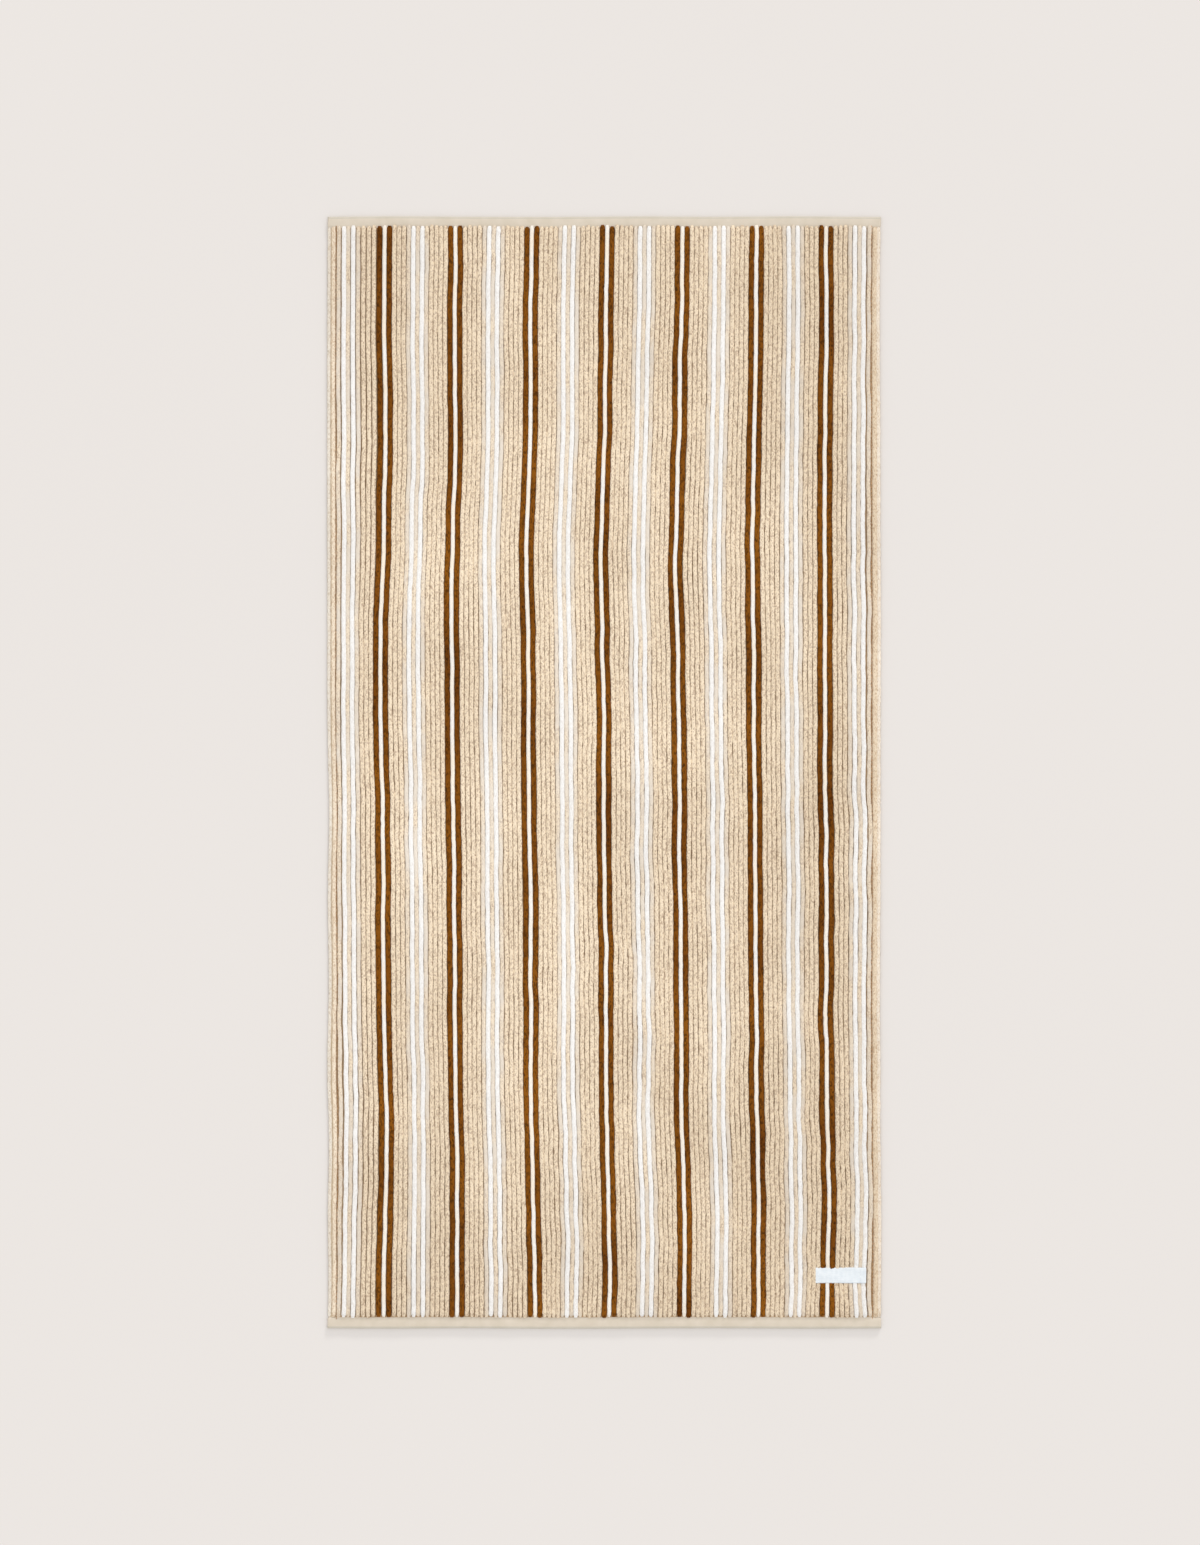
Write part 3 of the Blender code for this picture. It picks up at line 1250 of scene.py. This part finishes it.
@dataclass
class RibbedPile:
    """Rolls of terry loops that run along the cloth: ribs of its two faces, or a side hem."""

    plan: ClothPlan
    face: Face
    name: str
    ribs: Sequence[Rib]
    finish: bpy.types.Material
    crest: float = 3.4 * MM
    lower_end: float = 10.5 * MM
    upper_end: float = 8.6 * MM
    floor_gap: float = 0.6 * MM
    label_press: float = 1.1 * MM
    end_unevenness: float = 0.7 * MM
    folds_wanted: int = 48
    unrest: Unrest = Unrest()
    seed: int = 3
    piece: bpy.types.Object = field(init=False)

    def rise(self) -> float:
        """Height of a roll above its flat side."""
        if self.face is Face.HEM:
            return self.crest - self.floor_gap
        return RIB_SHAPES[self.face].rise

    def base_height(self, across: np.ndarray, along: np.ndarray) -> np.ndarray:
        """Work out how high the flat side of the rolls lies.

        Args:
            across: Distances right of the middle.
            along: Distances up from the middle.

        Returns:
            A height for each point.
        """
        if self.face is Face.BACK:
            return np.full_like(along, self.rise() + self.floor_gap)
        if self.face is Face.HEM:
            return np.full_like(along, self.floor_gap)
        press = self.label_press * self.plan.under_label(across, along)
        lift = YARN_HABITS[self.ribs[0].yarn].lift
        return self.plan.pile_height(across, along) - self.rise() - press + lift

    def build(self, tree: bpy.types.NodeTree) -> None:
        """Draw the middle line of each rib and grow the rolls on these lines.

        Args:
            tree: The node tree that makes ribs.
        """
        chance = np.random.default_rng(self.seed + len(self.ribs))
        half = 0.5 * self.plan.length
        lines, numbers, unrest, girth, spill = [], [], [], [], []
        for number, rib in enumerate(self.ribs):
            lower, upper = chance.uniform(-self.end_unevenness, self.end_unevenness, 2)
            low, high = -half + self.lower_end + lower, half - self.upper_end + upper
            along = np.linspace(low, high, round((high - low) / LINE_STEP) + 1)
            across = np.full_like(along, rib.across)
            x, y = self.plan.place(across, along)
            lines.append(np.stack([x, y, self.base_height(across, along)], 1))
            numbers.append(np.full_like(along, number))
            unrest.append(self.unrest.at(self.plan, across, along))
            girth.append(np.full_like(along, rib.girth))
            spill.append(np.full_like(along, rib.spill))
        guide = chains(self.name, lines, rib=numbers, unrest=unrest, girth=girth, spill=spill)
        self.piece = link(self.name, guide)
        shape, habit = RIB_SHAPES[self.face], YARN_HABITS[self.ribs[0].yarn]
        grow_by_nodes(self.piece, tree, {
            "Rib width": self.ribs[0].width if self.face is Face.HEM else habit.width,
            "Rib rise": self.rise(),
            "Squareness": shape.squareness,
            "Start angle": 0.0 if self.face is Face.BACK else pi,
            "Sides": shape.sides,
            "Row spacing": shape.row_spacing,
            "Wander": shape.wander * habit.wander,
            "Wander size": shape.wander_size,
            "Sway": shape.sway,
            "Sway size": shape.sway_size,
            "Loop relief": shape.relief * habit.relief,
            "Seed": self.seed,
            "Yarn": self.finish,
        })
        self.lay_map(shape.sides)

    def lay_map(self, sides: int) -> None:
        """Unroll each rib into its own strips of the piece's own map.

        Args:
            sides: Number of sides of a roll.
        """
        mesh = self.piece.data
        faces = len(mesh.polygons)
        starts, totals = np.zeros(faces, int), np.zeros(faces, int)
        mesh.polygons.foreach_get("loop_start", starts)
        mesh.polygons.foreach_get("loop_total", totals)
        corner = np.zeros(len(mesh.loops), int)
        mesh.loops.foreach_get("vertex_index", corner)
        face_of = np.repeat(np.arange(faces), totals)
        read = {}
        for name in ("rib", "row", "around"):
            read[name] = np.zeros(len(mesh.vertices))
            mesh.attributes[name].data.foreach_get("value", read[name])
        rib, row, around = (np.rint(read[name][corner]).astype(int) for name in read)
        first_row = np.minimum.reduceat(row, starts)[face_of]
        last_side = np.maximum.reduceat(around, starts)[face_of]
        first_side = np.minimum.reduceat(around, starts)[face_of]
        capped = (totals != 4)[face_of]
        wraps = (first_side == 0) & (last_side == sides - 1) & ~capped
        around = np.where(wraps & (around == 0), sides, around)
        folds = max(1, round(self.folds_wanted / len(self.ribs)))
        fold_rows = -(-(int(row.max()) + 1) // folds)
        fold = np.minimum(first_row // fold_rows, folds - 1)
        u = STRIP_MARGINS[0] + (1 - 2 * STRIP_MARGINS[0]) * around / sides
        v = STRIP_MARGINS[1] + (1 - 2 * STRIP_MARGINS[1]) * (row - fold * fold_rows) / fold_rows
        turn = 2 * pi * around / sides
        u = np.where(capped, 0.5 + CAP_SIZE[0] * np.cos(turn), u)
        cap_middle = np.where(row == 0, MAP_MARGIN, 1.0 - MAP_MARGIN)
        v = np.where(capped, cap_middle + CAP_SIZE[1] * np.sin(turn), v)
        layer = mesh.uv_layers.new(name=BAKE_MAP)
        places = np.stack([(rib * folds + fold + u) / (len(self.ribs) * folds), v], 1)
        layer.uv.foreach_set("vector", places.ravel())
        for name in ("rib", "row", "around", "unrest", "girth"):
            mesh.attributes.remove(mesh.attributes[name])


SWAY_SHARES = (2.0, 0.0, 0.4)    # how much of a rib's unevenness goes across, along and up
NOISE_CENTRE = (0.5, 0.5, 0.5)
SWELLS_PER_METRE = 170.0
SWELL_NOISE = (0.3, 0.7)         # the values of the noise between which a rib's girth varies
SWELL = (0.965, 1.035)           # a rib's girth where it is thinnest and thickest
END_TAPER = 0.6                  # a rib's girth at its very end


def make_rib_tree() -> bpy.types.NodeTree:
    """Build the node tree that turns rib lines into rolls of loops.

    Returns:
        The new geometry node tree.
    """
    number, whole = "NodeSocketFloat", "NodeSocketInt"
    tree, given = new_tree("ribs of terry loops", (
        ("Rib lines", "NodeSocketGeometry"), ("Rib width", number), ("Rib rise", number),
        ("Squareness", number), ("Start angle", number), ("Sides", whole),
        ("Row spacing", number), ("Wander", number), ("Wander size", number),
        ("Sway", number), ("Sway size", number), ("Loop relief", number), ("Seed", whole),
        ("Yarn", "NodeSocketMaterial"),
    ))
    lines = add_node(tree, "GeometryNodeMeshToCurve", {0: given["Rib lines"]})
    rows = add_node(
        tree, "GeometryNodeResampleCurve", {"Curve": lines, "Length": given["Row spacing"]},
        mode="LENGTH",
    )

    where = add_node(tree, "GeometryNodeInputPosition")
    unrest = read_mark(tree, "unrest")
    shifts = []
    for amount, size in (("Wander", "Wander size"), ("Sway", "Sway size")):
        scale = calc(tree, "DIVIDE", 1.0, given[size])
        noise = add_node(
            tree, "ShaderNodeTexNoise",
            {"Vector": where, "W": given["Seed"], "Scale": scale, "Detail": 1.0}, "Color",
            noise_dimensions="4D",
        )
        centred = vector_calc(tree, "SUBTRACT", noise, NOISE_CENTRE)
        shifts.append(scaled(tree, centred, calc(tree, "MULTIPLY", given[amount], unrest)))
    sideways = vector_calc(tree, "MULTIPLY", vector_calc(tree, "ADD", *shifts), SWAY_SHARES)
    wandering = add_node(tree, "GeometryNodeSetPosition", {"Geometry": rows, "Offset": sideways})

    along = add_node(tree, "GeometryNodeSplineParameter").node.outputs
    total = add_node(tree, "GeometryNodeSplineLength")
    to_end = calc(tree, "SUBTRACT", total, along["Length"])
    nearest = calc(tree, "MINIMUM", along["Length"], to_end)
    end_taper = remap(tree, nearest, (0.0, given["Rib rise"]), (END_TAPER, 1.0))
    swell_noise = add_node(
        tree, "ShaderNodeTexNoise", {"Vector": where, "W": given["Seed"], "Scale": SWELLS_PER_METRE},
        noise_dimensions="4D",
    )
    swell = remap(tree, swell_noise, SWELL_NOISE, SWELL)
    radius = calc(tree, "MULTIPLY", end_taper, swell)
    radius = calc(tree, "MULTIPLY", radius, read_mark(tree, "girth"))
    upright = add_node(tree, "GeometryNodeSetCurveNormal", {0: wandering}, mode="Z_UP")
    numbered = mark(tree, upright, "row", along["Index"])

    arc = add_node(
        tree, "GeometryNodeCurveArc",
        {"Resolution": given["Sides"], "Radius": 1.0, "Start Angle": given["Start angle"],
         "Sweep Angle": pi},
    )
    half_round = add_node(tree, "GeometryNodeSetSplineCyclic", {0: arc, "Cyclic": True})
    split = add_node(tree, "ShaderNodeSeparateXYZ", {0: where}).node.outputs
    squared = []
    for axis in (0, 1):
        size = calc(tree, "POWER", calc(tree, "ABSOLUTE", split[axis]), given["Squareness"])
        squared.append(calc(tree, "MULTIPLY", size, calc(tree, "SIGN", split[axis])))
    half_width = calc(tree, "MULTIPLY", given["Rib width"], 0.5)
    wide = calc(tree, "MULTIPLY", squared[0], half_width)
    high = calc(tree, "MULTIPLY", squared[1], given["Rib rise"])
    spot = add_node(tree, "ShaderNodeCombineXYZ", {0: wide, 1: high})
    # depth: 1 at a roll's flat side and 0 at its crest; the yarn materials paint shade by it
    depth = calc(tree, "SUBTRACT", 1.0, calc(tree, "ABSOLUTE", squared[1]))
    sunk = mark(tree, half_round, "depth", depth)
    counted = mark(tree, sunk, "around", add_node(tree, "GeometryNodeInputIndex"))
    section = add_node(tree, "GeometryNodeSetPosition", {"Geometry": counted, "Position": spot})
    rolls = add_node(
        tree, "GeometryNodeCurveToMesh",
        {"Curve": numbered, "Profile Curve": section, "Scale": radius, "Fill Caps": True},
    )

    out = add_node(tree, "GeometryNodeInputNormal")
    chance = add_node(
        tree, "FunctionNodeRandomValue", {2: -1.0, 3: 1.0, "Seed": given["Seed"]}, 1,
        data_type="FLOAT",
    )
    relief = calc(tree, "MULTIPLY", chance, given["Loop relief"])
    loop_shift = scaled(tree, out, relief)
    looped = add_node(tree, "GeometryNodeSetPosition", {"Geometry": rolls, "Offset": loop_shift})
    finish_tree(tree, looped, given["Yarn"])
    return tree


def make_stitch_tree() -> bpy.types.NodeTree:
    """Build the node tree that lays a row of stitches along each seam line.

    Returns:
        The new geometry node tree.
    """
    number, whole = "NodeSocketFloat", "NodeSocketInt"
    tree, given = new_tree("rows of stitches", (
        ("Seam lines", "NodeSocketGeometry"), ("Stitch pitch", number),
        ("Stitch length", number), ("Thread width", number), ("Crookedness", number),
        ("Seed", whole), ("Thread", "NodeSocketMaterial"),
    ))
    lines = add_node(tree, "GeometryNodeMeshToCurve", {0: given["Seam lines"]})
    places = add_node(
        tree, "GeometryNodeResampleCurve", {"Curve": lines, "Length": given["Stitch pitch"]},
        mode="LENGTH",
    )
    run = add_node(tree, "GeometryNodeInputTangent")
    facing = add_node(tree, "FunctionNodeAlignRotationToVector", {"Vector": run}, axis="X")
    least = calc(tree, "MULTIPLY", given["Crookedness"], -1.0)
    turn = add_node(
        tree, "FunctionNodeRandomValue", {2: least, 3: given["Crookedness"], "Seed": given["Seed"]},
        1, data_type="FLOAT",
    )
    skew = add_node(tree, "ShaderNodeCombineXYZ", {2: turn})
    crooked = add_node(tree, "FunctionNodeRotateRotation", {0: facing, 1: skew}, rotation_space="LOCAL")
    half_length = calc(tree, "MULTIPLY", given["Stitch length"], 0.5)
    half_width = calc(tree, "MULTIPLY", given["Thread width"], 0.5)
    size = add_node(tree, "ShaderNodeCombineXYZ", {0: half_length, 1: half_width, 2: half_width})
    bead = add_node(tree, "GeometryNodeMeshUVSphere", {"Segments": 8, "Rings": 5, "Radius": 1.0})
    stitch = add_node(tree, "GeometryNodeTransform", {"Geometry": bead, "Scale": size})
    row = add_node(
        tree, "GeometryNodeInstanceOnPoints",
        {"Points": places, "Instance": stitch, "Rotation": crooked},
    )
    finish_tree(tree, row, given["Thread"])
    return tree


@dataclass(frozen=True)
class Stitching:
    """The size of one kind of lockstitch seam, in metres, and how crooked it is, in radians."""

    pitch: float
    length: float
    thread: float
    crookedness: float


SEAM_STITCHES = Stitching(pitch=3.7 * MM, length=2.9 * MM, thread=0.8 * MM, crookedness=0.16)
LABEL_STITCHES = Stitching(pitch=2.2 * MM, length=1.8 * MM, thread=0.35 * MM, crookedness=0.1)
SEAM_HEIGHT = 2.5 * MM


@dataclass
class StitchRows:
    """Rows of stitches in one thread, laid on seam lines."""

    name: str
    lines: Sequence[np.ndarray]
    size: Stitching
    thread: SewingThread
    seed: int = 5
    piece: bpy.types.Object = field(init=False)

    def build(self, tree: bpy.types.NodeTree) -> None:
        """Lay the stitches along the lines.

        Args:
            tree: The node tree that makes stitches.
        """
        self.piece = link(self.name, chains(self.name, self.lines))
        grow_by_nodes(self.piece, tree, {
            "Stitch pitch": self.size.pitch,
            "Stitch length": self.size.length,
            "Thread width": self.size.thread,
            "Crookedness": self.size.crookedness,
            "Seed": self.seed,
            "Thread": self.thread.material(),
        })


def side_seams(plan: ClothPlan, height: float) -> list[np.ndarray]:
    """Draw the seam that holds each side hem.

    Args:
        plan: The towel's plan.
        height: How high the seams lie.

    Returns:
        The points of each seam on the real cloth.
    """
    from_middle = 0.5 * plan.width - plan.side_hem - 0.5 * plan.seam
    end = 0.5 * plan.length - plan.end_hem
    along = np.linspace(-end, end, round(2 * end / LINE_STEP))
    lines = []
    for across in (-from_middle, from_middle):
        x, y = plan.place(across, along)
        lines.append(np.stack([x, y, np.full_like(x, height)], 1))
    return lines


@dataclass
class WovenLabel:
    """A small blank label, turned under at both ends and sewn flat on the pile."""

    plan: ClothPlan
    name: str = "woven_label"
    thickness: float = 0.3 * MM
    left_turn: float = 2.8 * MM
    right_turn: float = 5.2 * MM
    turn_lift: float = 0.35 * MM
    turn_slope: float = 0.4 * MM
    stitch_inset: float = 0.2 * MM
    stitch_reach: float = 0.5 * MM
    stitch_pull: float = 0.3
    seam_share: float = 0.82
    seam_points: int = 9
    clearance: float = 0.15 * MM
    ripple: float = 0.1 * MM
    ripple_sizes: tuple[float, float] = (4.17 * MM, 2.3 * MM)
    ripple_slant: float = 9 * MM
    edge_reach: float = 1.0 * MM
    top_droop: float = 0.5       # how far the top sinks at the rim, as a share of the thickness
    rim_thinning: float = 0.3    # how much thinner the rim is, likewise
    unevenness: float = 0.1 * MM
    bow_size: float = 7 * MM
    skew_size: float = 4 * MM
    skew_shift: float = 0.6
    columns: int = 70
    rows: int = 18
    piece: bpy.types.Object = field(init=False)

    def top(self, across: np.ndarray, along: np.ndarray) -> np.ndarray:
        """Work out the height of the label's upper face.

        Args:
            across: Distances right of the middle.
            along: Distances up from the middle.

        Returns:
            A height for each point.
        """
        plan = self.plan
        beside = across - plan.label_centre[0]
        left = beside + 0.5 * plan.label_size[0]
        right = 0.5 * plan.label_size[0] - beside
        pressed = plan.pile_height(across, along) - RibbedPile.label_press
        lift = np.zeros_like(across)
        for inwards, turn in ((left, self.left_turn), (right, self.right_turn)):
            turned = 1.0 - smooth_step(inwards, turn - self.turn_slope, turn)
            stitched = np.exp(-((inwards - turn - self.stitch_inset) / self.stitch_reach) ** 2)
            lift += self.turn_lift * (turned - self.stitch_pull * stitched)
        wave = np.sin(2 * pi * across / self.ripple_sizes[0])
        wave = wave + np.sin(along / self.ripple_sizes[1] + across / self.ripple_slant)
        return pressed + self.clearance + self.thickness + self.ripple * wave + lift

    def build(self) -> None:
        """Make the closed mesh of the label."""
        plan = self.plan
        half_width, half_height = 0.5 * plan.label_size[0], 0.5 * plan.label_size[1]
        beside, above = np.meshgrid(
            np.linspace(-half_width, half_width, self.columns),
            np.linspace(-half_height, half_height, self.rows),
        )
        across, along = plan.label_centre[0] + beside, plan.label_centre[1] + above
        top = self.top(across, along)
        edge = np.minimum(half_width - np.abs(beside), half_height - np.abs(above))
        droop = self.thickness * (1.0 - smooth_step(edge, 0.0, self.edge_reach))
        top = top - self.top_droop * droop
        under = top - self.thickness + self.rim_thinning * droop
        bow = self.unevenness * np.sin(beside / self.bow_size) * above / half_height
        skew = np.sin(above / self.skew_size + self.skew_shift) * beside / half_width
        skew = self.unevenness * skew
        mesh = closed_sheet(self.name, across + skew, along + bow, top, under)
        share = beside / plan.label_size[0] + 0.5, above / plan.label_size[1] + 0.5
        lay_flat_map(mesh, *share)
        self.piece = link(self.name, mesh)

    def dress(self) -> None:
        """Give the label its satin tape."""
        self.piece.data.materials.append(LabelTape().material())

    def seams(self) -> list[np.ndarray]:
        """Draw the two short seams that hold the label.

        Returns:
            The points of each seam.
        """
        plan, lines = self.plan, []
        half_width, half_height = 0.5 * plan.label_size[0], 0.5 * plan.label_size[1]
        for place in (-half_width + self.left_turn, half_width - self.right_turn):
            reach = self.seam_share * half_height
            along = plan.label_centre[1] + np.linspace(-reach, reach, self.seam_points)
            across = np.full_like(along, plan.label_centre[0] + place)
            lines.append(np.stack([across, along, self.top(across, along)], 1))
        return lines


@dataclass
class Studio:
    """The floor, the lights and the camera over the towel."""

    frame_height: float = 1.389
    lens: float = 85.0
    sensor: float = 36.0
    look_at: tuple[float, float] = (-3.55 * MM, 0.0)
    key_from: tuple[float, float, float] = (0.28, 0.92, 0.25)
    key_power: float = 1.3
    key_spread: float = 0.14
    sky: str = "#FFFFFF"
    sky_power: float = 1.08
    floor_half: float = 12.0

    def build(self) -> None:
        """Make the floor, the lights, the surroundings and the camera."""
        half = self.floor_half
        corners = [(-half, -half, 0.0), (half, -half, 0.0), (half, half, 0.0), (-half, half, 0.0)]
        mesh = bpy.data.meshes.new("studio_floor")
        mesh.from_pydata(corners, [], [(0, 1, 2, 3)])
        mesh.materials.append(StudioCard().material())
        link("studio_floor", mesh)

        key = bpy.data.lights.new("key", "SUN")
        key.energy = self.key_power
        key.angle = self.key_spread
        lamp = bpy.data.objects.new("key", key)
        lamp.rotation_euler = Vector(self.key_from).to_track_quat("Z", "Y").to_euler()
        bpy.context.scene.collection.objects.link(lamp)

        world = bpy.data.worlds.new("studio")
        world.use_nodes = True
        sky = world.node_tree.nodes["Background"]
        sky.inputs["Color"].default_value = linear(self.sky)
        sky.inputs["Strength"].default_value = self.sky_power
        bpy.context.scene.world = world

        camera = bpy.data.cameras.new("camera")
        camera.lens = self.lens
        camera.sensor_fit = "VERTICAL"
        camera.sensor_height = self.sensor
        viewer = bpy.data.objects.new("camera", camera)
        viewer.location = (*self.look_at, self.frame_height * self.lens / self.sensor)
        bpy.context.scene.collection.objects.link(viewer)
        bpy.context.scene.camera = viewer
        bpy.context.scene.view_settings.view_transform = "Standard"


# The rolls of the side hems, in millimetres: how far in from the edge each one ends, and its height.
HEM_ROLLS = (
    # name, inner end, outer end, height, loops
    # left_edge loops: painted shade
    ("left_edge", 3.5, 0.3, 2.1, SHADED_LEFT_EDGE_LOOPS),
    ("left_fold", 8.3, 4.4, 3.4, HEM_LOOPS),
    # right_edge loops: painted light
    ("right_edge", 4.2, 0.4, 2.9, LIT_RIGHT_EDGE_LOOPS),
    # right_fold loops: painted shade
    ("right_fold", 8.3, 3.2, 3.2, SHADED_RIGHT_HEM_LOOPS),
)
HEM_LOWER_END = 9.6 * MM
HEM_UPPER_END = 8.8 * MM
BEIGE_PARTS = ("beige_left", "beige_middle", "beige_right")


def face_piles(plan: ClothPlan) -> list[RibbedPile]:
    """List the piles of the two faces: each yarn's ribs, with the beige ones of the front in parts.

    Args:
        plan: The towel's plan.

    Returns:
        The piles, not built yet.
    """
    ribs = StripePlan(plan).ribs()
    finishes = {yarn: YARN_FINISHES[yarn].material() for yarn in Yarn}
    by_yarn = {yarn: [rib for rib in ribs if rib.yarn is yarn] for yarn in Yarn}
    beige = by_yarn[Yarn.BEIGE]
    size = -(-len(beige) // len(BEIGE_PARTS))
    groups = [
        (Face.FRONT, name, beige[part * size:(part + 1) * size])
        for part, name in enumerate(BEIGE_PARTS)
    ]
    groups += [(Face.FRONT, yarn.value, by_yarn[yarn]) for yarn in (Yarn.WHITE, Yarn.BROWN)]
    groups += [(Face.BACK, yarn.value, by_yarn[yarn]) for yarn in Yarn]
    return [
        RibbedPile(plan, face, f"{face.value}_pile_{name}", members, finishes[members[0].yarn])
        for face, name, members in groups
    ]


def hem_piles(plan: ClothPlan) -> list[RibbedPile]:
    """List the rolls of pile that show on the turned side hems.

    Args:
        plan: The towel's plan.

    Returns:
        The rolls, not built yet.
    """
    piles = []
    for name, inner, outer, height, loops in HEM_ROLLS:
        side = 1 if name.startswith("right") else -1
        middle = side * (0.5 * plan.width - 0.5 * (inner + outer) * MM)
        roll = Rib(Yarn.BEIGE, middle, (inner - outer) * MM)
        piles.append(RibbedPile(
            plan, Face.HEM, f"side_hem_{name}", [roll], loops.material(), crest=height * MM,
            lower_end=HEM_LOWER_END, upper_end=HEM_UPPER_END,
        ))
    return piles


def main() -> None:
    """Build and dress the towel piece by piece, and say what each piece is."""
    logging.basicConfig(level=logging.INFO, format="%(message)s")
    plan = ClothPlan()
    Studio().build()

    ground = GroundCloth(plan)
    ground.build()
    ground.dress()

    rib_tree, stitch_tree = make_rib_tree(), make_stitch_tree()
    piles = face_piles(plan) + hem_piles(plan)
    for pile in piles:
        pile.build(rib_tree)

    label = WovenLabel(plan)
    label.build()
    label.dress()

    seams = side_seams(plan, SEAM_HEIGHT)
    rows = [
        StitchRows("side_seams", seams, SEAM_STITCHES, SEAM_THREAD),
        StitchRows("label_stitches", label.seams(), LABEL_STITCHES, LABEL_THREAD),
    ]
    for row in rows:
        row.build(stitch_tree)

    cloth = [pile.piece for pile in piles]
    sewing = [row.piece for row in rows]
    for piece in [ground.piece, *cloth, label.piece, *sewing]:
        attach(piece, "root")
        LOG.info("%s: %d triangles", piece.name, triangles(piece.data))
    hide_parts("towel")
    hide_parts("label")


if __name__ == "__main__":
    main()
